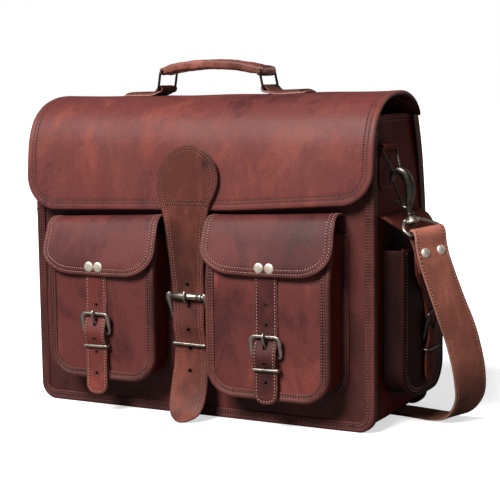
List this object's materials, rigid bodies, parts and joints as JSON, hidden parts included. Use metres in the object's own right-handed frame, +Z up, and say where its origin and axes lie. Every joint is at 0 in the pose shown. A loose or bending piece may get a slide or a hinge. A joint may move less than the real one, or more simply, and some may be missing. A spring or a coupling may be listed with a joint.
{
  "type": "satchel bag",
  "caption": "Leather satchel with a flap-over lid on a buckled tongue, buckled front and side pockets, a ring-mounted top handle and a clip-on shoulder strap.",
  "frame": {"origin": "bottom centre of the whole part's box, on the surface that the bag stands on", "axes": "+X to the bag's right side as seen from the front, +Y to the back, +Z up"},
  "size_m": [0.553, 0.2017, 0.379],
  "materials": {
    "body_leather": "waxed full-grain, mottled red brown",
    "flap_leather": "waxed full-grain, mottled red brown",
    "trim_leather": "darker purple brown binding with dark stitching",
    "tongue_leather": "waxed brown, double stitched",
    "strap_leather": "tan brown with light edge stitching",
    "lining": "woven canvas",
    "antique_metal": "antiqued, worn bright on the edges",
    "dark_metal": "gunmetal",
    "rivet_metal": "pale polished"
  },
  "bodies": {
    "bag": {"front_panel": "body_leather", "back_panel": "body_leather", "gusset_left": "body_leather", "gusset_right": "body_leather", "bottom_panel": "body_leather", "front_binding": "trim_leather", "back_binding": "trim_leather", "centre_divider": "lining", "pocket_left_panel": "body_leather", "pocket_left_gusset": "body_leather", "pocket_left_lid": "flap_leather", "pocket_right_panel": "body_leather", "pocket_right_gusset": "body_leather", "pocket_right_lid": "flap_leather", "side_pocket_left": "body_leather", "side_pocket_right": "body_leather", "side_tab_left": "body_leather", "side_tab_right": "body_leather", "strap_ring_left": "antique_metal", "strap_ring_right": "antique_metal", "shoulder_strap": "strap_leather", "strap_rivets_left": "rivet_metal", "strap_rivets_right": "rivet_metal"},
    "flap": {"main_flap": "flap_leather", "flap_binding": "trim_leather", "tongue_strap": "tongue_leather", "centre_buckle": "antique_metal", "centre_chape": "trim_leather", "centre_keeper": "antique_metal", "handle_tab_left": "strap_leather", "handle_tab_right": "strap_leather"},
    "centre_prong": {"centre_prong": "antique_metal"},
    "centre_roller": {"centre_roller": "antique_metal"},
    "handle_ring_left": {"handle_ring_left": "dark_metal"},
    "handle_grip": {"handle_grip": "strap_leather"},
    "handle_ring_right": {"handle_ring_right": "dark_metal"},
    "pocket_left_flap": {"pocket_left_flap": "flap_leather", "pocket_left_strap": "strap_leather", "pocket_left_rivets": "rivet_metal", "pocket_left_buckle": "antique_metal", "pocket_left_chape": "trim_leather", "pocket_left_keeper": "antique_metal"},
    "pocket_left_prong": {"pocket_left_prong": "antique_metal"},
    "side_flap_left": {"side_flap_left": "body_leather", "side_buckle_left": "dark_metal"},
    "side_ring_left": {"side_ring_left": "dark_metal"},
    "clip_left": {"clip_left_hook": "antique_metal"},
    "clip_gate_left": {"clip_left_gate": "antique_metal"},
    "pocket_right_flap": {"pocket_right_flap": "flap_leather", "pocket_right_strap": "strap_leather", "pocket_right_rivets": "rivet_metal", "pocket_right_buckle": "antique_metal", "pocket_right_chape": "trim_leather", "pocket_right_keeper": "antique_metal"},
    "pocket_right_prong": {"pocket_right_prong": "antique_metal"},
    "side_flap_right": {"side_flap_right": "body_leather", "side_buckle_right": "dark_metal"},
    "side_ring_right": {"side_ring_right": "dark_metal"},
    "clip_right": {"clip_right_hook": "antique_metal"},
    "clip_gate_right": {"clip_right_gate": "antique_metal"}
  },
  "joints": [
    {"name": "flap_open", "type": "hinge", "parent": "bag", "child": "flap", "pos_m": [-0.01716, 0.07035, 0.3215], "axis": [-1, 0, 0], "range_deg": [0, 150]},
    {"name": "centre_prong_tilt", "type": "hinge", "parent": "flap", "child": "centre_prong", "pos_m": [-0.01366, -0.06455, 0.1064], "axis": [1, 0, 0], "range_deg": [0, 8]},
    {"name": "centre_roller_spin", "type": "hinge", "parent": "flap", "child": "centre_roller", "pos_m": [-0.01366, -0.07375, 0.1318], "axis": [1, 0, 0], "continuous": true},
    {"name": "handle_swing", "type": "hinge", "parent": "flap", "child": "handle_ring_left", "pos_m": [-0.08866, 0.01385, 0.3476], "axis": [0, 1, 0], "range_deg": [-45, 45]},
    {"name": "handle_grip_level", "type": "hinge", "parent": "handle_ring_left", "child": "handle_grip", "pos_m": [-0.08866, 0.01385, 0.367], "axis": [0, 1, 0], "range_deg": [-45, 45]},
    {"name": "handle_ring_right_swing", "type": "hinge", "parent": "flap", "child": "handle_ring_right", "pos_m": [0.03934, 0.01385, 0.3476], "axis": [0, 1, 0], "range_deg": [-45, 45]},
    {"name": "pocket_left_open", "type": "hinge", "parent": "bag", "child": "pocket_left_flap", "pos_m": [-0.12016, -0.09075, 0.2044], "axis": [-1, 0, 0], "range_deg": [0, 120]},
    {"name": "pocket_left_prong_tilt", "type": "hinge", "parent": "pocket_left_flap", "child": "pocket_left_prong", "pos_m": [-0.12016, -0.09135, 0.0887], "axis": [1, 0, 0], "range_deg": [0, 8]},
    {"name": "pocket_right_open", "type": "hinge", "parent": "bag", "child": "pocket_right_flap", "pos_m": [0.08334, -0.09075, 0.2044], "axis": [-1, 0, 0], "range_deg": [0, 120]},
    {"name": "pocket_right_prong_tilt", "type": "hinge", "parent": "pocket_right_flap", "child": "pocket_right_prong", "pos_m": [0.08334, -0.09135, 0.0787], "axis": [1, 0, 0], "range_deg": [0, 8]},
    {"name": "side_flap_right_open", "type": "hinge", "parent": "bag", "child": "side_flap_right", "pos_m": [0.18674, 0.01785, 0.2144], "axis": [0, -1, 0], "range_deg": [0, 4.5]},
    {"name": "side_flap_left_open", "type": "hinge", "parent": "bag", "child": "side_flap_left", "pos_m": [-0.22106, 0.01785, 0.2144], "axis": [0, 1, 0], "range_deg": [0, 4.5]},
    {"name": "side_ring_right_swing", "type": "hinge", "parent": "bag", "child": "side_ring_right", "pos_m": [0.18874, -0.02415, 0.2895], "axis": [0, 1, 0], "range_deg": [-2, 2]},
    {"name": "side_ring_left_swing", "type": "hinge", "parent": "bag", "child": "side_ring_left", "pos_m": [-0.22306, -0.02415, 0.2895], "axis": [0, 1, 0], "range_deg": [-1, 1]},
    {"name": "clip_right_swivel", "type": "hinge", "parent": "bag", "child": "clip_right", "pos_m": [0.21434, -0.02315, 0.214], "axis": [-0.2864, -0.0198, 0.9579], "range_deg": [-10, 10]},
    {"name": "clip_right_gate_open", "type": "hinge", "parent": "clip_right", "child": "clip_gate_right", "pos_m": [0.20528, -0.02341, 0.22501], "axis": [-0.0057, 0.9998, 0.0189], "range_deg": [0, 18], "stiffness_Nm_per_rad": 0.01, "springref_deg": -17.19},
    {"name": "clip_left_swivel", "type": "hinge", "parent": "bag", "child": "clip_left", "pos_m": [-0.25016, -0.01215, 0.217], "axis": [0.3219, -0.2414, 0.9155], "range_deg": [-10, 10]},
    {"name": "clip_left_gate_open", "type": "hinge", "parent": "clip_left", "child": "clip_gate_left", "pos_m": [-0.24089, -0.01527, 0.22702], "axis": [-0.0801, -0.9704, -0.2278], "range_deg": [0, 18], "stiffness_Nm_per_rad": 0.01, "springref_deg": -17.19}
  ],
  "couplings": [
    {"joint": "handle_grip_level", "follows": "handle_swing", "ratio": -1},
    {"joint": "handle_ring_right_swing", "follows": "handle_swing", "ratio": 1}
  ]
}
